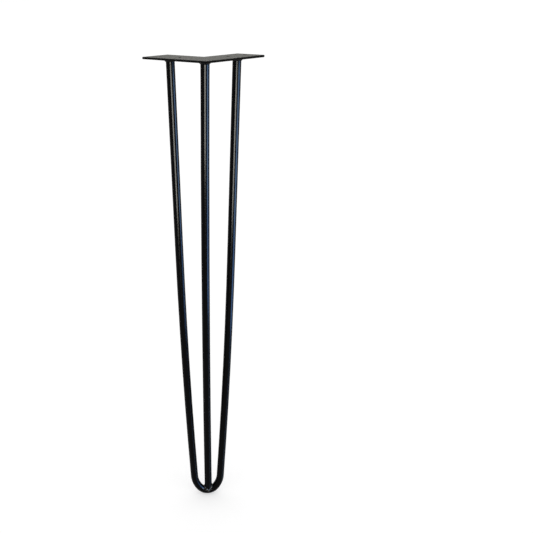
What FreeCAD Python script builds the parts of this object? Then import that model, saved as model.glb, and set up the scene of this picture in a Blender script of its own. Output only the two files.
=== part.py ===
"""Three-rod hairpin table leg: an L-shaped plate, a rod bent into a V, a third rod and their welds.

Millimetres. The origin is on the plate's top face, where the centre lines of its two arms cross,
straight over the centre rod. +Z is up, out of the top face. +Y is the diagonal of the L, from its
outer corner to its inner corner. The leg is symmetric about the YZ plane, apart from the slight
lean and bow of the centre rod.
"""
import FreeCAD
import Part
import math
import os

import Sketcher
from FreeCAD import Vector
from Sketcher import Constraint

SIZES = {
    # from the plate's top face to the lowest point of the foot
    "leg_height": 711.0,
    # the plate: each arm from the outer corner to its end, its width and its gauge
    "arm_length": 117.0,
    "arm_width": 48.0,
    "plate_gauge": 3.0,
    "corner_round": 1.0,
    "edge_break": 0.4,
    # the screw holes, one each side of an outer rod, measured from the end of the arm
    "hole_diameter": 5.5,
    "end_hole_inset": 12.5,
    "inner_hole_inset": 48.0,
    # the round bar that both rods are cut from
    "rod_diameter": 12.0,
    # an outer rod's axis, from the end of its arm
    "rod_inset": 29.5,
    # how far the foot lies behind the centre rod's top, along the diagonal
    "foot_setback": 30.0,
    # the bend at the foot: a tight arc, a wider shoulder each side, then the rods' long gentle bow
    "bend_radius": 16.5,
    "shoulder_radius": 39.5,
    "shoulder_angle": 36.0,
    "bow_radius": 11000.0,
    "bow_angle": 2.13,
    # the centre rod: its lower end's offset to one side, its bow, and its seat's depth on the bend
    "centre_rod_lean": 1.35,
    "centre_rod_bow": 1.6,
    "saddle_depth": 1.8,
    # the welds under the plate: how far each runs along rod and plate
    "top_weld_leg": 3.6,
    # the weld at the foot: lumps round the centre rod, sunk into its side and standing on the bend,
    # each a little larger or smaller than its neighbours
    "foot_weld_lump": 2.3,
    "foot_weld_unevenness": 0.35,
    "foot_weld_sink": 0.5,
    "foot_weld_rise": 0.6,
    "foot_weld_count": 12,
}

# How far a blank runs past the cut that trims it
OVERRUN = 6.0

# How far the foot weld's unevenness turns from one lump to the next, so that no two alike meet
UNEVEN_TURN = 137.5

doc = FreeCAD.newDocument("HairpinLeg")


def make_sheet():
    """The driving dimensions, one named cell each."""
    cells = doc.addObject("Spreadsheet::Sheet", "Sizes")
    for row, (name, number) in enumerate(SIZES.items(), start=1):
        cells.set(f"A{row}", name)
        cells.set(f"B{row}", str(number))
        cells.setAlias(f"B{row}", name)
    doc.recompute()
    return cells


sheet = make_sheet()

# Lengths that follow from the driving dimensions, written as expressions of the sheet
ROD_RADIUS = "Sizes.rod_diameter / 2"
ARM_REACH = "(Sizes.arm_length - Sizes.arm_width / 2)"
OUTER_ROD = f"(({ARM_REACH} - Sizes.rod_inset) / sqrt(2))"
FOOT_DEPTH = f"(Sizes.leg_height - {ROD_RADIUS})"

# The plane of the V holds both outer rods. Its origin is the bend's axis at the foot, its x is the
# row's X and its y runs up the leg, leaning with the rods.
V_DROP = f"({FOOT_DEPTH} - Sizes.plate_gauge)"
V_LENGTH = f"sqrt({V_DROP}^2 + ({OUTER_ROD} - Sizes.foot_setback)^2)"
V_TILT = f"atan(({OUTER_ROD} - Sizes.foot_setback) / {V_DROP})"

# The angle from x of an outer rod's straight run, which is tangent to the last of the three arcs
# and passes through the rod's seat on the plate
ARC_OFFSET = (
    "((Sizes.shoulder_radius - Sizes.bend_radius)"
    " * cos((Sizes.shoulder_angle + Sizes.bow_angle) * 1deg)"
    " + (Sizes.bow_radius - Sizes.shoulder_radius) * cos(Sizes.bow_angle * 1deg)"
    " - Sizes.bow_radius)"
)
V_RISE = f"({V_LENGTH} - Sizes.bend_radius)"
RUN_ANGLE = f"(acos({ARC_OFFSET} / sqrt({OUTER_ROD}^2 + {V_RISE}^2)) - atan({OUTER_ROD} / {V_RISE}))"

# The plane of the centre rod. Its origin is level with the rod's lower end, on the YZ plane.
CENTRE_DEPTH = "(Sizes.leg_height - Sizes.rod_diameter + Sizes.saddle_depth)"
CENTRE_DROP = f"({CENTRE_DEPTH} - Sizes.plate_gauge)"
CENTRE_LENGTH = f"sqrt({CENTRE_DROP}^2 + Sizes.foot_setback^2)"
CENTRE_TILT = f"atan(Sizes.foot_setback / {CENTRE_DROP})"
CENTRE_CHORD = f"sqrt({CENTRE_DROP}^2 + Sizes.foot_setback^2 + Sizes.centre_rod_lean^2)"
CENTRE_RADIUS = f"({CENTRE_CHORD}^2 / (8 * Sizes.centre_rod_bow) + Sizes.centre_rod_bow / 2)"
# The angle from x of the rod's chord, and of its axis at its two ends
CHORD_ANGLE = f"(90deg + atan(Sizes.centre_rod_lean / {CENTRE_LENGTH}))"
END_TURN = f"(2 * atan(2 * Sizes.centre_rod_bow / {CENTRE_CHORD}))"
CENTRE_TOP_ANGLE = f"({CHORD_ANGLE} - {END_TURN})"
CENTRE_FOOT_ANGLE = f"({CHORD_ANGLE} + {END_TURN})"


def value(expression):
    """The number that an expression of the sheet gives, in millimetres or degrees."""
    return float(sheet.evalExpression(expression))


def origin_plane(body, role):
    """One of a body's own origin planes, such as XY_Plane."""
    return next(item for item in body.Origin.OriginFeatures if item.Role == role)


def new_sketch(body, name, role):
    """A sketch that lies on one of its body's origin planes."""
    sketch = body.newObject("Sketcher::SketchObject", name)
    sketch.AttachmentSupport = [(origin_plane(body, role), "")]
    sketch.MapMode = "FlatFace"
    return sketch


def drive(sketch, expression, *rule):
    """Adds a dimension whose value follows an expression of the sheet."""
    number = value(expression)
    if rule[0] == "Angle":
        number = math.radians(number)
    index = sketch.addConstraint(Constraint(*rule, number))
    sketch.setExpression(f"Constraints[{index}]", expression)


def add_line(sketch, start, end, construction=False):
    return sketch.addGeometry(Part.LineSegment(start, end), construction)


def add_circle(sketch, centre, radius):
    return sketch.addGeometry(Part.Circle(centre, Vector(0, 0, 1), radius), False)


def add_arc(sketch, centre, radius, start, end):
    """A counterclockwise arc between two angles from x, in radians."""
    circle = Part.Circle(centre, Vector(0, 0, 1), radius)
    return sketch.addGeometry(Part.ArcOfCircle(circle, start, end), False)


def join(sketch, ids):
    """Joins a closed chain of edges end to start."""
    for this, following in zip(ids, ids[1:] + ids[:1]):
        sketch.addConstraint(Constraint("Coincident", this, 2, following, 1))


def check_sketch(sketch):
    """Stops where a sketch can't be solved or isn't fully constrained."""
    if sketch.solve() != 0 or not sketch.FullyConstrained:
        raise RuntimeError(f"{sketch.Name} isn't solved or isn't fully constrained")


def make_plate():
    """The L: an outline padded down from the top face, four screw holes and broken edges."""
    body = doc.addObject("PartDesign::Body", "MountingPlate")
    body.Placement.Rotation = FreeCAD.Rotation(Vector(0, 0, 1), 45)

    outline = new_sketch(body, "PlateOutline", "XY_Plane")
    near = -value("Sizes.arm_width / 2")
    far = value(ARM_REACH)
    corners = [(near, near), (far, near), (far, -near), (-near, -near), (-near, far), (near, far)]
    points = [Vector(x, y, 0) for x, y in corners]
    sides = [add_line(outline, a, b) for a, b in zip(points, points[1:] + points[:1])]
    join(outline, sides)
    for index, side in enumerate(sides):
        outline.addConstraint(Constraint("Vertical" if index % 2 else "Horizontal", side))
    south, east_end, _, _, north_end, west = sides
    drive(outline, "Sizes.arm_width / 2", "DistanceX", south, 1, -1, 1)
    drive(outline, "Sizes.arm_width / 2", "DistanceY", south, 1, -1, 1)
    drive(outline, "Sizes.arm_length", "DistanceX", south, 1, south, 2)
    drive(outline, "Sizes.arm_length", "DistanceY", west, 2, west, 1)
    drive(outline, "Sizes.arm_width", "DistanceY", east_end, 1, east_end, 2)
    drive(outline, "Sizes.arm_width", "DistanceX", north_end, 2, north_end, 1)
    check_sketch(outline)

    pad = body.newObject("PartDesign::Pad", "PlatePad")
    pad.Profile = outline
    pad.setExpression("Length", "Sizes.plate_gauge")
    pad.Reversed = True

    holes = new_sketch(body, "ScrewHoles", "XY_Plane")
    rings = []
    for inset in ("Sizes.end_hole_inset", "Sizes.inner_hole_inset"):
        reach = f"{ARM_REACH} - {inset}"
        for way, axis in (("DistanceX", -1), ("DistanceY", -2)):
            along = value(reach)
            centre = Vector(along, 0, 0) if way == "DistanceX" else Vector(0, along, 0)
            ring = add_circle(holes, centre, value("Sizes.hole_diameter / 2"))
            holes.addConstraint(Constraint("PointOnObject", ring, 3, axis))
            drive(holes, reach, way, -1, 1, ring, 3)
            rings.append(ring)
    drive(holes, "Sizes.hole_diameter", "Diameter", rings[0])
    for ring in rings[1:]:
        holes.addConstraint(Constraint("Equal", rings[0], ring))
    check_sketch(holes)

    drilled = body.newObject("PartDesign::Pocket", "ScrewHolePocket")
    drilled.Profile = holes
    drilled.Type = "ThroughAll"
    doc.recompute()

    corners = body.newObject("PartDesign::Fillet", "RoundedCorners")
    corners.Base = (drilled, upright_edges(drilled.Shape))
    corners.setExpression("Radius", "Sizes.corner_round")
    doc.recompute()

    rims = body.newObject("PartDesign::Chamfer", "BrokenRims")
    rims.Base = (corners, rim_edges(corners.Shape))
    rims.setExpression("Size", "Sizes.edge_break")
    body.Tip = rims
    doc.recompute()
    return body


def edge_names(shape, wanted):
    return [f"Edge{i}" for i, edge in enumerate(shape.Edges, start=1) if wanted(edge)]


def upright_edges(shape):
    """The corners of the outline: straight edges through the gauge, without the holes' seams."""
    def is_corner(edge):
        upright = isinstance(edge.Curve, Part.Line) and abs(edge.Curve.Direction.z) > 0.5
        faces = shape.ancestorsOfType(edge, Part.Face)
        return upright and all(isinstance(face.Surface, Part.Plane) for face in faces)
    return edge_names(shape, is_corner)


def rim_edges(shape):
    """The edges of the top and bottom face that follow the outline, without the holes' rims."""
    def is_rim(edge):
        level = abs(edge.valueAt(edge.FirstParameter).z - edge.valueAt(edge.LastParameter).z) < 1e-6
        return level and not edge.isClosed()
    return edge_names(shape, is_rim)


def lean_sketch(sketch, axis, tilt, depth):
    """Moves a sketch from its body's XZ plane down to the foot and tips it about the row's X."""
    sketch.AttachmentOffset = FreeCAD.Placement(Vector(0, 0, 0), FreeCAD.Rotation(axis, 1))
    sketch.setExpression("AttachmentOffset.Base.y", f"-{depth}")
    sketch.setExpression("AttachmentOffset.Base.z", "-Sizes.foot_setback")
    sketch.setExpression("AttachmentOffset.Rotation.Angle", tilt)


def lean_to_v(sketch):
    lean_sketch(sketch, Vector(-1, 0, 0), V_TILT, FOOT_DEPTH)


def lean_to_centre_rod(sketch):
    lean_sketch(sketch, Vector(1, 0, 0), CENTRE_TILT, CENTRE_DEPTH)


def make_hairpin_blank():
    """The bent rod: its right half swept up from the foot, then mirrored, its tops still long."""
    body = doc.addObject("PartDesign::Body", "HairpinBlank")
    path = new_sketch(body, "HairpinPath", "XZ_Plane")
    lean_to_v(path)

    shoulder = math.radians(value("Sizes.shoulder_angle"))
    bow = math.radians(value("Sizes.bow_angle"))
    turns = [math.radians(value(RUN_ANGLE)) - shoulder - bow, shoulder, bow]
    radii = ["Sizes.bend_radius", "Sizes.shoulder_radius", "Sizes.bow_radius"]
    arcs = []
    point = Vector(0, 0, 0)
    heading = 0.0
    for radius, turn in zip(map(value, radii), turns):
        centre = point + Vector(-math.sin(heading), math.cos(heading), 0) * radius
        arcs.append(add_arc(path, centre, radius, heading - math.pi / 2, heading + turn - math.pi / 2))
        heading += turn
        point = centre + Vector(math.sin(heading), -math.cos(heading), 0) * radius
    along = Vector(math.cos(heading), math.sin(heading), 0)
    seat_at = Vector(value(OUTER_ROD), value(V_LENGTH), 0)
    run = add_line(path, point, seat_at + along * (OVERRUN / along.y))
    seat = path.addGeometry(Part.Point(seat_at), True)

    bend, shoulder_arc, bow_arc = arcs
    path.addConstraint(Constraint("Coincident", bend, 1, -1, 1))
    path.addConstraint(Constraint("PointOnObject", bend, 3, -2))
    path.addConstraint(Constraint("Tangent", bend, 2, shoulder_arc, 1))
    path.addConstraint(Constraint("Tangent", shoulder_arc, 2, bow_arc, 1))
    path.addConstraint(Constraint("Tangent", bow_arc, 2, run, 1))
    path.addConstraint(Constraint("PointOnObject", seat, 1, run))
    for arc, radius in zip(arcs, radii):
        drive(path, radius, "Radius", arc)
    drive(path, "Sizes.shoulder_angle", "Angle", shoulder_arc)
    drive(path, "Sizes.bow_angle", "Angle", bow_arc)
    drive(path, OUTER_ROD, "DistanceX", -1, 1, seat, 1)
    drive(path, V_LENGTH, "DistanceY", -1, 1, seat, 1)
    path.addConstraint(Constraint("DistanceY", seat, 1, run, 2, OVERRUN))
    check_sketch(path)

    section = new_sketch(body, "HairpinSection", "YZ_Plane")
    centre = Vector(value("Sizes.foot_setback"), -value(FOOT_DEPTH), 0)
    ring = add_circle(section, centre, value(ROD_RADIUS))
    drive(section, "Sizes.foot_setback", "DistanceX", -1, 1, ring, 3)
    drive(section, FOOT_DEPTH, "DistanceY", ring, 3, -1, 1)
    drive(section, "Sizes.rod_diameter", "Diameter", ring)
    check_sketch(section)

    half = body.newObject("PartDesign::AdditivePipe", "HairpinHalf")
    half.Profile = section
    half.Spine = (path, [])
    doc.recompute()

    both = body.newObject("PartDesign::Mirrored", "HairpinBothHalves")
    both.Originals = [half]
    both.MirrorPlane = (origin_plane(body, "YZ_Plane"), [""])
    body.Tip = both
    doc.recompute()
    return body


def make_centre_blank():
    """The centre rod: a bar on a very shallow arc, from its seat on the bend to past the plate."""
    body = doc.addObject("PartDesign::Body", "CentreRodBlank")
    path = new_sketch(body, "CentreRodPath", "XZ_Plane")
    lean_to_centre_rod(path)

    lower = Vector(value("Sizes.centre_rod_lean"), 0, 0)
    seat_at = Vector(0, value(CENTRE_LENGTH), 0)
    radius = value(CENTRE_RADIUS)
    chord = seat_at - lower
    middle = (lower + seat_at) * 0.5
    inwards = Vector(chord.y, -chord.x, 0).normalize()
    centre = middle + inwards * (radius - value("Sizes.centre_rod_bow"))
    end_height = seat_at.y + OVERRUN - centre.y
    end_angle = math.pi - math.asin(end_height / radius)
    start_angle = math.pi + math.asin((centre.y - lower.y) / radius)
    arc = add_arc(path, centre, radius, end_angle, start_angle)
    seat = path.addGeometry(Part.Point(seat_at), True)
    path.addConstraint(Constraint("PointOnObject", arc, 2, -1))
    path.addConstraint(Constraint("PointOnObject", seat, 1, -2))
    path.addConstraint(Constraint("PointOnObject", seat, 1, arc))
    drive(path, CENTRE_RADIUS, "Radius", arc)
    drive(path, "Sizes.centre_rod_lean", "DistanceX", -1, 1, arc, 2)
    drive(path, CENTRE_LENGTH, "DistanceY", -1, 1, seat, 1)
    path.addConstraint(Constraint("DistanceY", seat, 1, arc, 1, OVERRUN))
    check_sketch(path)

    section = body.newObject("Sketcher::SketchObject", "CentreRodSection")
    section.AttachmentSupport = [(path, "Edge1")]
    section.MapMode = "NormalToEdge"
    section.MapPathParameter = 0.0
    ring = add_circle(section, Vector(0, 0, 0), value(ROD_RADIUS))
    section.addConstraint(Constraint("Coincident", ring, 3, -1, 1))
    drive(section, "Sizes.rod_diameter", "Diameter", ring)
    check_sketch(section)

    sweep = body.newObject("PartDesign::AdditivePipe", "CentreRodSweep")
    sweep.Profile = section
    sweep.Spine = (path, [])
    body.Tip = sweep
    doc.recompute()
    return body


def make_top_weld_blank(name, lean, seat_x, seat_y, angle):
    """A weld round a rod's top: a triangle turned about the rod's axis, its top still long."""
    body = doc.addObject("PartDesign::Body", name)
    profile = new_sketch(body, f"{name}Profile", "XZ_Plane")
    lean(profile)

    turn = math.radians(value(angle))
    along = Vector(math.cos(turn), math.sin(turn), 0)
    outwards = Vector(math.sin(turn), -math.cos(turn), 0)
    seat = Vector(value(seat_x), value(seat_y), 0)
    top = seat + along * OVERRUN
    on_rod = top + outwards * value(ROD_RADIUS)
    reach = value("Sizes.top_weld_leg") + OVERRUN
    toe = on_rod - along * reach
    rim = on_rod + outwards * reach

    axis = add_line(profile, seat, top, construction=True)
    spoke = add_line(profile, top, on_rod, construction=True)
    side = add_line(profile, toe, on_rod)
    cap = add_line(profile, on_rod, rim)
    face = add_line(profile, rim, toe)
    join(profile, [side, cap, face])
    profile.addConstraint(Constraint("Coincident", axis, 2, spoke, 1))
    profile.addConstraint(Constraint("Coincident", spoke, 2, side, 2))
    profile.addConstraint(Constraint("Perpendicular", axis, spoke))
    profile.addConstraint(Constraint("Parallel", axis, side))
    profile.addConstraint(Constraint("Parallel", spoke, cap))
    profile.addConstraint(Constraint("Equal", side, cap))
    profile.addConstraint(Constraint("Distance", axis, OVERRUN))
    drive(profile, seat_x, "DistanceX", -1, 1, axis, 1)
    drive(profile, seat_y, "DistanceY", -1, 1, axis, 1)
    drive(profile, angle, "Angle", axis)
    drive(profile, ROD_RADIUS, "Distance", spoke)
    drive(profile, f"Sizes.top_weld_leg + {OVERRUN}", "Distance", side)
    check_sketch(profile)

    ring = body.newObject("PartDesign::Revolution", f"{name}Ring")
    ring.Profile = profile
    ring.ReferenceAxis = (profile, ["Axis0"])
    ring.Angle = 360
    body.Tip = ring
    doc.recompute()
    return body


def make_plate_zone():
    """The space above the plate's underside, which trims what is welded to it."""
    zone = doc.addObject("Part::Box", "PlateZone")
    zone.setExpression("Length", "4 * Sizes.arm_length")
    zone.setExpression("Width", "4 * Sizes.arm_length")
    zone.Height = 4 * OVERRUN
    zone.setExpression("Placement.Base.x", "-2 * Sizes.arm_length")
    zone.setExpression("Placement.Base.y", "-2 * Sizes.arm_length")
    zone.setExpression("Placement.Base.z", "-Sizes.plate_gauge")
    return zone


def cut(name, base, tool):
    """The base with the tool's space taken out of it."""
    result = doc.addObject("Part::Cut", name)
    result.Base = base
    result.Tool = tool
    return result


def make_foot_weld(hairpin):
    """Overlapping lumps that follow the corner between the centre rod's side and the bend."""
    lumps = []
    count = int(value("Sizes.foot_weld_count"))
    ring = f"({ROD_RADIUS} - Sizes.foot_weld_sink)"
    for index in range(count):
        turn = f"({index} * 360deg / {count})"
        x = f"(Sizes.centre_rod_lean + {ring} * cos({turn}))"
        y = f"({ring} * sin({turn}))"
        # height of the bend's upper side there, from the middle of its tube
        across = f"(Sizes.bend_radius - sqrt(({ROD_RADIUS})^2 - {y}^2))"
        crown = f"(Sizes.bend_radius - sqrt({across}^2 - {x}^2))"
        z = f"({crown} + Sizes.foot_weld_rise - {FOOT_DEPTH})"
        place = f"placement(vector({x}; Sizes.foot_setback + {y}; {z}); rotation(vector(0; 0; 1); {turn}))"
        swell = f"Sizes.foot_weld_unevenness * sin({index} * {UNEVEN_TURN}deg)"
        lump = doc.addObject("Part::Sphere", f"FootLump{index + 1}")
        lump.setExpression("Radius", f"Sizes.foot_weld_lump + {swell}")
        lump.setExpression("Placement", place)
        lumps.append(lump)
    bead = doc.addObject("Part::MultiFuse", "FootWeldLumps")
    bead.Shapes = lumps

    # the centre rod's lower end, straight over the few millimetres that the bead covers
    core = doc.addObject("Part::Cylinder", "FootWeldCore")
    core.setExpression("Radius", ROD_RADIUS)
    core.setExpression("Height", "2 * Sizes.bend_radius")
    end = f"vector(Sizes.centre_rod_lean; Sizes.foot_setback; -{CENTRE_DEPTH})"
    back = f"rotation(vector(1; 0; 0); {CENTRE_TILT})"
    sideways = f"rotation(vector(0; 1; 0); 90deg - {CENTRE_FOOT_ANGLE})"
    core.setExpression("Placement", f"placement({end}; {back} * {sideways})")
    return cut("FootWeld", cut("FootWeldOnRod", bead, core), hairpin)


def group(name, pieces):
    """Separate solids that share one node."""
    result = doc.addObject("Part::Compound", name)
    result.Links = pieces
    return result


def make_outer_welds():
    """The right outer rod's weld under the plate, and its mirror image on the left."""
    blank = make_top_weld_blank("OuterWeldBlank", lean_to_v, OUTER_ROD, V_LENGTH, RUN_ANGLE)
    right = cut("RightWeld", blank, plate_zone)
    left = doc.addObject("Part::Mirroring", "LeftWeld")
    left.Source = right
    left.Normal = Vector(1, 0, 0)
    return group("OuterRodWelds", [right, left])


def make_centre_welds(hairpin):
    """The centre rod's weld under the plate and its bead on the bend."""
    blank = make_top_weld_blank(
        "CornerWeldBlank", lean_to_centre_rod, "0mm", CENTRE_LENGTH, CENTRE_TOP_ANGLE
    )
    corner = cut("CornerWeld", blank, plate_zone)
    return group("CentreRodWelds", [corner, make_foot_weld(hairpin)])


plate_zone = make_plate_zone()
hairpin_rod = cut("HairpinRod", make_hairpin_blank(), plate_zone)
centre_on_bend = cut("CentreRodOnBend", make_centre_blank(), hairpin_rod)
centre_rod = cut("CentreRod", centre_on_bend, plate_zone)
# each node with how many separate solids it holds
nodes = {
    "mounting_plate": (make_plate(), 1),
    "hairpin_rod": (hairpin_rod, 1),
    "centre_rod": (centre_rod, 1),
    "outer_rod_welds": (make_outer_welds(), 2),
    "centre_rod_welds": (make_centre_welds(hairpin_rod), 2),
}
for name, (piece, _) in nodes.items():
    piece.Label = name
doc.recompute()

failed = [item.Name for item in doc.Objects if {"Invalid", "Error"} & set(item.State)]
if failed:
    raise RuntimeError(f"failed: {failed}")
for name, (piece, solids) in nodes.items():
    if piece.Shape.isNull() or not piece.Shape.isValid() or len(piece.Shape.Solids) != solids:
        raise RuntimeError(f"{name} isn't valid, or has the wrong number of solids")

os.makedirs("parts", exist_ok=True)
for name, (piece, _) in nodes.items():
    piece.Shape.exportStep(f"parts/{name}.step")
    print(f"{name}: {piece.Shape.Volume:.1f} cubic mm")
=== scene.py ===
"""Looks for the three-rod hairpin table leg: black satin powder coat on a welded steel frame.

Metres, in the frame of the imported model: the origin is on the plate's top face, +Z up, and the
leg hangs down from it to the floor at its foot.
"""
import math

import bmesh
import bpy
from mathutils import Matrix, Vector, noise


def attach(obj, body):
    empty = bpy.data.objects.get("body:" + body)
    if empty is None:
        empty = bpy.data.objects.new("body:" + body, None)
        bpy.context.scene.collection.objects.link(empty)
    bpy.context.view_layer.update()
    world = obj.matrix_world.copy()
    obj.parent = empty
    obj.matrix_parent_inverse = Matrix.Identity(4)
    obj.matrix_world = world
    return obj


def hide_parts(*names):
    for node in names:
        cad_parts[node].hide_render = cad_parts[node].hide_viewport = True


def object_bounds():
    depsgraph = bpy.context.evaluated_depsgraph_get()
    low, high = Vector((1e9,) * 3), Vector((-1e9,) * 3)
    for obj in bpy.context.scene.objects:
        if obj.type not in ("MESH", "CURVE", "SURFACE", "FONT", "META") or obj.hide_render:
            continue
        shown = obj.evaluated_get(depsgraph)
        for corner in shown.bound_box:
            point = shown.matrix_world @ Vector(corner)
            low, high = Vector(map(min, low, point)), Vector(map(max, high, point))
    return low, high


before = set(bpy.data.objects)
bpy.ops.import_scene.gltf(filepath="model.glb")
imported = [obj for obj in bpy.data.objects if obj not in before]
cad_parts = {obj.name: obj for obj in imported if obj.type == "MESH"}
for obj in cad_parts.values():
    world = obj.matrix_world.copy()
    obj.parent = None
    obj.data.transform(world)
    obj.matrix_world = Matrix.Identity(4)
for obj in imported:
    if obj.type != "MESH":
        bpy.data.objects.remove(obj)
cad_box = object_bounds()

MM = 0.001

# How strongly the coat mirrors what faces it. Low, because the coat is a deep black.
GLOSS = 0.045

# The coat's patterns, as noise scales: at 1000 a lump is about 1 mm. The noise keeps near 0.5,
# so only its middle is mapped to tone and sheen.
TONE_SCALE = 90.0
TONE_EDGES = (0.4, 0.7)
SHEEN_SCALE = 260.0
SHEEN_EDGES = (0.3, 0.7)
WAVE_SCALE = 120.0
WAVE_HEIGHT = 0.004 * MM
PEEL_SCALE = 1100.0
RIM_STEEPNESS = 4.0

# A coat's tones, the range of its roughness, the height of its orange peel, how much rougher it
# looks towards the rims, and on the plate the share of roughness that the upright faces have
ROD_COAT = dict(
    dark=(0.0003, 0.0003, 0.0004),
    light=(0.0008, 0.0008, 0.0011),
    sheen=(0.14, 0.18),
    peel=0.0015 * MM,
    rim=2.0,
)
COATS = {
    "hairpin_rod": ROD_COAT,
    "centre_rod": ROD_COAT,
    "mounting_plate": dict(
        dark=(0.0004, 0.0004, 0.0004),
        light=(0.0012, 0.0012, 0.0010),
        sheen=(0.39, 0.51),
        peel=0.006 * MM,
        rim=0.0,
        sides=0.45,
    ),
}
TOP_BEAD_COAT = dict(
    dark=(0.0004, 0.0004, 0.0005),
    light=(0.0012, 0.0012, 0.0015),
    sheen=(0.25, 0.35),
    peel=0.002 * MM,
    rim=1.5,
)
# The foot's weld: light patches on its lumps, partly scuffed thin-coat spots and partly painted
# glints that stand for highlights on the lumps, and glossier than the rest
FOOT_BEAD_COAT = dict(
    dark=(0.001, 0.001, 0.001),
    # the light tone: scuffed spots and painted glints on the lumps
    light=(0.055, 0.055, 0.048),
    sheen=(0.2, 0.3),
    peel=0.002 * MM,
    rim=0.3,
    gloss=0.12,
    tone_scale=380.0,
)

# The weld beads: how far they are swollen into the rods, and how finely they are remade
BEAD_SWELL = 0.15 * MM
BEAD_VOXEL = 0.2 * MM
SAME_CORNER = 0.0001 * MM

# The crescents that the weld pool left round a rod: their spacing and height, the level between
# crest and trough that stays in place, and how far they sweep back and drift, in radians
RIPPLE_PITCH = 2.6 * MM
RIPPLE_HEIGHT = 0.13 * MM
RIPPLE_LEVEL = 0.6
RIPPLE_SWEEP = 1.6
RIPPLE_DRIFT = 2.5
DRIFT_SIZE = 5.0 * MM
GRAIN_SIZE = 1.3 * MM
GRAIN_HEIGHT = 0.12 * MM
FOOT_GRAIN_HEIGHT = 0.3 * MM
SOFTENING = 6
FOOT_SOFTENING = 16

# The floor: its grey under the room's light, what brings that up to white where it is seen, and
# the polish that the leg mirrors
FLOOR_Z = cad_box[0].z
FLOOR_HALF = 400.0
FLOOR_GREY = 0.6
FLOOR_LIFT = 0.44
FLOOR_IOR = 1.5
FLOOR_ROUGHNESS = 0.12

# The softboxes: azimuth (0 is the camera's side of the leg, positive towards +X), height and
# distance of the middle, width and height, radiance, colour, and what doesn't mirror the lamp
SOFTBOXES = {
    "warm_front": dict(
        azimuth=-2.5,
        height=-0.375,
        distance=1.7,
        panel=(0.82, 0.65),
        radiance=65.0,
        colour=(1.0, 0.98, 0.88),
        hidden_from=("plate", "floor"),
    ),
    "warm_back": dict(
        azimuth=180.0,
        height=0.60,
        distance=3.0,
        panel=(1.6, 1.1),
        radiance=0.5,
        colour=(1.0, 0.97, 0.70),
        hidden_from=("floor",),
    ),
    "cool_side": dict(
        azimuth=68.0,
        height=-0.235,
        distance=0.6,
        panel=(0.40, 0.37),
        radiance=46.0,
        colour=(0.30, 0.55, 1.0),
        hidden_from=("plate",),
    ),
    "cool_low": dict(
        azimuth=68.0,
        height=-0.56,
        distance=0.6,
        panel=(0.40, 0.28),
        radiance=36.0,
        colour=(0.22, 0.46, 1.0),
        hidden_from=("plate",),
    ),
    "cool_high": dict(
        azimuth=43.0,
        height=0.45,
        distance=4.5,
        panel=(1.3, 0.7),
        radiance=110.0,
        colour=(0.62, 0.76, 1.0),
        hidden_from=("plate", "floor"),
    ),
}
OVERHEAD_HEIGHT = 1.4
OVERHEAD_PANEL = (2.4, 2.4)
OVERHEAD_RADIANCE = 10.0
WHITE = (1.0, 1.0, 1.0)

# The photograph's viewpoint, fitted to the outlines of the leg. Angles in radians, the lens and
# the sensor in millimetres.
CAMERA_PLACE = (-0.03641, -0.89894, 0.07272)
CAMERA_YAW = 0.0209
CAMERA_PITCH = 0.3716
CAMERA_ROLL = -0.0147
CAMERA_LENS = 45.68
CAMERA_SENSOR = 36.0
CAMERA_SHIFT = (0.1357, -0.0093)
CAMERA_REACH = 2000.0


def new_material(name):
    material = bpy.data.materials.new(name)
    material.use_nodes = True
    return material, material.node_tree.nodes, material.node_tree.links


def maths(nodes, links, operation, *values):
    """A Math node. Each value is a number or another node's output."""
    node = nodes.new("ShaderNodeMath")
    node.operation = operation
    for value, socket in zip(values, node.inputs):
        if isinstance(value, float):
            socket.default_value = value
        else:
            links.new(value, socket)
    return node


def noise_factor(nodes, links, coords, scale, detail=2.0):
    node = nodes.new("ShaderNodeTexNoise")
    node.inputs["Scale"].default_value = scale
    node.inputs["Detail"].default_value = detail
    links.new(coords, node.inputs["Vector"])
    return node.outputs["Fac"]


def spread(nodes, links, factor, edges, results):
    """Maps the range between the edges to the range between the results."""
    node = nodes.new("ShaderNodeMapRange")
    node.inputs["From Min"].default_value, node.inputs["From Max"].default_value = edges
    node.inputs["To Min"].default_value, node.inputs["To Max"].default_value = results
    links.new(factor, node.inputs["Value"])
    return node.outputs["Result"]


def bump(nodes, links, height, distance, before=None):
    node = nodes.new("ShaderNodeBump")
    node.inputs["Strength"].default_value = 1.0
    node.inputs["Distance"].default_value = distance
    links.new(height, node.inputs["Height"])
    if before:
        links.new(before, node.inputs["Normal"])
    return node.outputs["Normal"]


def duller_rims(nodes, links, sheen, rim):
    """Raises the roughness where the surface turns away, as the coat's fine texture does."""
    turn = nodes.new("ShaderNodeLayerWeight")
    turn.inputs["Blend"].default_value = 0.5
    steep = maths(nodes, links, "POWER", turn.outputs["Facing"], RIM_STEEPNESS)
    total = maths(nodes, links, "MULTIPLY_ADD", steep.outputs[0], rim, sheen)
    total.use_clamp = True
    return total.outputs[0]


def smoother_sides(nodes, links, sheen, share):
    """Lowers the roughness on upright faces, to a share of what it is on the level ones."""
    parts = nodes.new("ShaderNodeSeparateXYZ")
    links.new(nodes.new("ShaderNodeTexCoord").outputs["Normal"], parts.inputs[0])
    level = maths(nodes, links, "ABSOLUTE", parts.outputs["Z"])
    scale = spread(nodes, links, level.outputs[0], (0.0, 1.0), (share, 1.0))
    return maths(nodes, links, "MULTIPLY", sheen, scale).outputs[0]


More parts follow.
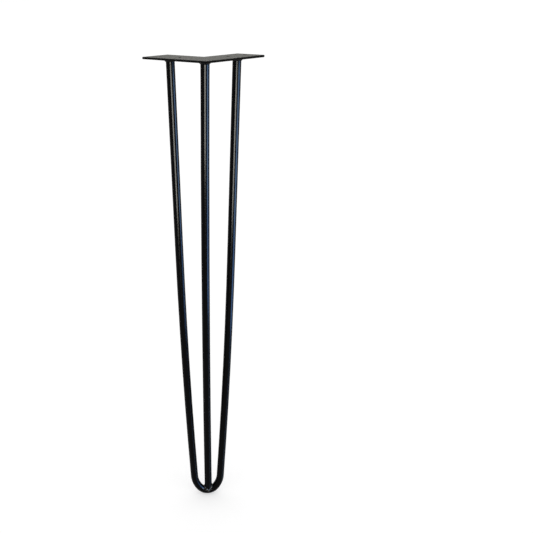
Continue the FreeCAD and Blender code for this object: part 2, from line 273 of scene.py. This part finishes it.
def powder_coat(name, dark, light, sheen, peel, rim, sides=1.0, gloss=GLOSS, tone_scale=TONE_SCALE):
    """Black powder coat: orange peel, slow waves, and tone and sheen that vary a little."""
    material, nodes, links = new_material(name)
    shader = nodes["Principled BSDF"]
    coords = nodes.new("ShaderNodeTexCoord").outputs["Object"]

    tone = nodes.new("ShaderNodeValToRGB")
    for element, edge, colour in zip(tone.color_ramp.elements, TONE_EDGES, (dark, light)):
        element.position = edge
        element.color = (*colour, 1.0)
    links.new(noise_factor(nodes, links, coords, tone_scale, 3.0), tone.inputs["Fac"])
    links.new(tone.outputs["Color"], shader.inputs["Base Color"])

    patches = noise_factor(nodes, links, coords, SHEEN_SCALE, 3.0)
    duller = spread(nodes, links, patches, SHEEN_EDGES, sheen)
    if sides != 1.0:
        duller = smoother_sides(nodes, links, duller, sides)
    links.new(duller_rims(nodes, links, duller, rim), shader.inputs["Roughness"])

    waves = noise_factor(nodes, links, coords, WAVE_SCALE, 1.0)
    slow = bump(nodes, links, waves, WAVE_HEIGHT)
    fine = bump(nodes, links, noise_factor(nodes, links, coords, PEEL_SCALE), peel, slow)
    links.new(fine, shader.inputs["Normal"])
    shader.inputs["Specular IOR Level"].default_value = gloss
    return material


def from_the_top(group):
    """Sorts by height, the highest first, and from left to right at one height."""
    return -round(max(v.co.z for v in group), 5), min(v.co.x for v in group)


def solids_of(node):
    """The separate solids of a CAD node, the highest first, each as a new mesh."""
    work = bmesh.new()
    work.from_mesh(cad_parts[node].data)
    bmesh.ops.remove_doubles(work, verts=work.verts, dist=SAME_CORNER)
    waiting = set(work.verts)
    groups = []
    while waiting:
        group = set()
        edge = [waiting.pop()]
        while edge:
            vertex = edge.pop()
            group.add(vertex)
            near = {other for link in vertex.link_edges for other in link.verts} & waiting
            waiting -= near
            edge.extend(near)
        groups.append(group)
    meshes = []
    for group in sorted(groups, key=from_the_top):
        faces = {face for vertex in group for face in vertex.link_faces}
        order = sorted(group, key=lambda v: v.index)
        place = {vertex: index for index, vertex in enumerate(order)}
        corners = [[place[v] for v in face.verts] for face in sorted(faces, key=lambda f: f.index)]
        mesh = bpy.data.meshes.new(f"{node}_solid")
        mesh.from_pydata([v.co for v in order], [], corners)
        meshes.append(mesh)
    work.free()
    return meshes


def remade(mesh, softening):
    """The same form in small even facets, its creases softened as molten metal leaves them."""
    blank = bpy.data.objects.new("bead_blank", mesh)
    bpy.context.collection.objects.link(blank)
    swell = blank.modifiers.new("swell", "DISPLACE")
    swell.strength = BEAD_SWELL
    swell.mid_level = 0.0
    voxels = blank.modifiers.new("voxels", "REMESH")
    voxels.mode = "VOXEL"
    voxels.voxel_size = BEAD_VOXEL
    soften = blank.modifiers.new("soften", "SMOOTH")
    soften.factor = 0.5
    soften.iterations = softening
    shape = blank.evaluated_get(bpy.context.evaluated_depsgraph_get())
    result = bpy.data.meshes.new_from_object(shape)
    bpy.data.objects.remove(blank)
    for face in result.polygons:
        face.use_smooth = True
    return result


def rippled(mesh, ripple_height, grain_height):
    """Raises the crescents of a weld, one after another round the rod, and a grain over them."""
    points = [vertex.co.copy() for vertex in mesh.vertices]
    normals = [vertex.normal.copy() for vertex in mesh.vertices]
    middle = sum(points, Vector()) / len(points)
    reach = max((point - middle).xy.length for point in points)
    inner = min((point - middle).xy.length for point in points)
    turns = round(math.tau * (inner + reach) / 2 / RIPPLE_PITCH)
    for vertex, point, normal in zip(mesh.vertices, points, normals):
        out = point - middle
        across = (out.xy.length - inner) / (reach - inner)
        lag = RIPPLE_SWEEP * (2 * across - 1) ** 2
        drift = RIPPLE_DRIFT * noise.noise(point / DRIFT_SIZE)
        crest = abs(math.cos((turns * math.atan2(out.y, out.x) + lag + drift) / 2))
        grain = noise.noise(point / GRAIN_SIZE)
        height = ripple_height * (crest - RIPPLE_LEVEL) + grain_height * grain
        vertex.co = point + normal * height
    return mesh


def make_bead(name, node, mesh, material):
    """A weld bead in the place of its plain solid."""
    bead = bpy.data.objects.new(name, mesh)
    bpy.context.collection.objects.link(bead)
    bead.data.materials.clear()
    bead.data.materials.append(material)
    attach(bead, "root")
    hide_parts(node)


def coat_rigid_pieces():
    """The plate and the two rods keep their CAD shape and get the coat."""
    for node, settings in COATS.items():
        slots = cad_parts[node].data.materials
        slots.clear()
        slots.append(powder_coat(f"{node}_coat", **settings))


def make_beads():
    """Rippled beads round the rods under the plate, and a lumpy one at the foot."""
    top_coat = powder_coat("top_bead_coat", **TOP_BEAD_COAT)
    foot_coat = powder_coat("foot_bead_coat", **FOOT_BEAD_COAT)
    left, right = solids_of("outer_rod_welds")
    corner, foot = solids_of("centre_rod_welds")
    for name, node, solid in (
        ("outer_rod_bead_1", "outer_rod_welds", left),
        ("outer_rod_bead_2", "outer_rod_welds", right),
        ("corner_bead", "centre_rod_welds", corner),
    ):
        ring = rippled(remade(solid, SOFTENING), RIPPLE_HEIGHT, GRAIN_HEIGHT)
        make_bead(name, node, ring, top_coat)
    lumps = rippled(remade(foot, FOOT_SOFTENING), 0.0, FOOT_GRAIN_HEIGHT)
    make_bead("foot_bead", "centre_rod_welds", lumps, foot_coat)


def seen_directly(nodes, links):
    """1 for camera, glossy and transmission rays, 0 for the light that reaches the object."""
    rays = nodes.new("ShaderNodeLightPath").outputs
    either = maths(nodes, links, "MAXIMUM", rays["Is Camera Ray"], rays["Is Glossy Ray"])
    return maths(nodes, links, "MAXIMUM", either.outputs[0], rays["Is Transmission Ray"]).outputs[0]


def floor_material():
    """Pale and matt, and white where it is seen. Only the leg's own gloss sees its polish."""
    material, nodes, links = new_material("floor_white")
    matt = nodes.new("ShaderNodeBsdfDiffuse")
    matt.inputs["Color"].default_value = (FLOOR_GREY, FLOOR_GREY, FLOOR_GREY, 1.0)
    glow = nodes.new("ShaderNodeEmission")
    lift = maths(nodes, links, "MULTIPLY", seen_directly(nodes, links), FLOOR_LIFT)
    links.new(lift.outputs[0], glow.inputs["Strength"])
    both = nodes.new("ShaderNodeAddShader")
    links.new(matt.outputs[0], both.inputs[0])
    links.new(glow.outputs[0], both.inputs[1])

    polish = nodes.new("ShaderNodeBsdfGlossy")
    polish.inputs["Roughness"].default_value = FLOOR_ROUGHNESS
    shine = nodes.new("ShaderNodeFresnel")
    shine.inputs["IOR"].default_value = FLOOR_IOR
    mirrored = nodes.new("ShaderNodeLightPath").outputs["Is Glossy Ray"]
    share = maths(nodes, links, "MULTIPLY", shine.outputs[0], mirrored)
    surface = nodes.new("ShaderNodeMixShader")
    links.new(share.outputs[0], surface.inputs[0])
    links.new(both.outputs[0], surface.inputs[1])
    links.new(polish.outputs[0], surface.inputs[2])
    links.new(surface.outputs[0], nodes["Material Output"].inputs["Surface"])
    return material


def make_floor():
    """A wide pale floor under the foot."""
    mesh = bpy.data.meshes.new("floor")
    half = FLOOR_HALF
    corners = [(-half, -half), (half, -half), (half, half), (-half, half)]
    mesh.from_pydata([(x, y, FLOOR_Z) for x, y in corners], [], [(0, 1, 2, 3)])
    mesh.materials.append(floor_material())
    floor = bpy.data.objects.new("floor", mesh)
    bpy.context.collection.objects.link(floor)
    return floor


def make_world():
    """A plain white room, as bright as it is seen, so that a colour renders as it is written."""
    world = bpy.data.worlds.new("studio")
    bpy.context.scene.world = world
    world.use_nodes = True
    background = world.node_tree.nodes["Background"]
    background.inputs["Color"].default_value = (*WHITE, 1.0)
    background.inputs["Strength"].default_value = 1.0


def lamp_for_gloss(name, panel, radiance, colour):
    """An area lamp that shows in gloss alone: the room gives the plain light."""
    width, tall = panel
    lamp = bpy.data.lights.new(name, "AREA")
    lamp.shape = "RECTANGLE"
    lamp.size = width
    lamp.size_y = tall
    lamp.energy = radiance * math.pi * width * tall
    lamp.color = colour
    light = bpy.data.objects.new(name, lamp)
    light.visible_camera = False
    light.visible_diffuse = False
    bpy.context.collection.objects.link(light)
    return light


def keep_off(things, light):
    """Keeps a lamp from showing in things that would mirror too much of it."""
    group = bpy.data.collections.new(f"{light.name}_hidden_from")
    for thing in things:
        group.objects.link(thing)
    for member in group.collection_objects:
        member.light_linking.link_state = "EXCLUDE"
    light.light_linking.receiver_collection = group


def softbox(name, azimuth, height, distance, panel, radiance, colour):
    """An upright lamp that faces the leg."""
    light = lamp_for_gloss(name, panel, radiance, colour)
    turn = math.radians(azimuth)
    towards = Vector((math.sin(turn), -math.cos(turn), 0.0))
    light.location = towards * distance + Vector((0.0, 0.0, height))
    light.rotation_euler = (-towards).to_track_quat("-Z", "Y").to_euler()
    return light


def make_lamps(floor):
    """The softboxes round the leg and one overhead, each hidden from what mustn't mirror it."""
    things = {"plate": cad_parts["mounting_plate"], "floor": floor}
    for name, settings in SOFTBOXES.items():
        placing = {key: value for key, value in settings.items() if key != "hidden_from"}
        keep_off([things[key] for key in settings["hidden_from"]], softbox(name, **placing))
    overhead = lamp_for_gloss("overhead", OVERHEAD_PANEL, OVERHEAD_RADIANCE, WHITE)
    overhead.location = (0.0, 0.0, OVERHEAD_HEIGHT)
    keep_off([floor], overhead)


def make_camera():
    """Looks at the leg as the photograph does."""
    level = Vector((math.cos(CAMERA_YAW), -math.sin(CAMERA_YAW), 0.0))
    ahead = Vector((math.sin(CAMERA_YAW), math.cos(CAMERA_YAW), 0.0))
    forward = ahead * math.cos(CAMERA_PITCH) - Vector((0.0, 0.0, math.sin(CAMERA_PITCH)))
    upright = level.cross(forward)
    right = level * math.cos(CAMERA_ROLL) + upright * math.sin(CAMERA_ROLL)
    up = upright * math.cos(CAMERA_ROLL) - level * math.sin(CAMERA_ROLL)
    data = bpy.data.cameras.new("camera")
    data.sensor_width = CAMERA_SENSOR
    data.lens = CAMERA_LENS
    data.shift_x, data.shift_y = CAMERA_SHIFT
    data.clip_end = CAMERA_REACH
    camera = bpy.data.objects.new("camera", data)
    bpy.context.collection.objects.link(camera)
    pose = Matrix((right, up, -forward)).transposed().to_4x4()
    pose.translation = CAMERA_PLACE
    camera.matrix_world = pose
    bpy.context.scene.camera = camera


coat_rigid_pieces()
make_beads()
make_world()
make_lamps(make_floor())
make_camera()
bpy.context.scene.view_settings.view_transform = "Standard"
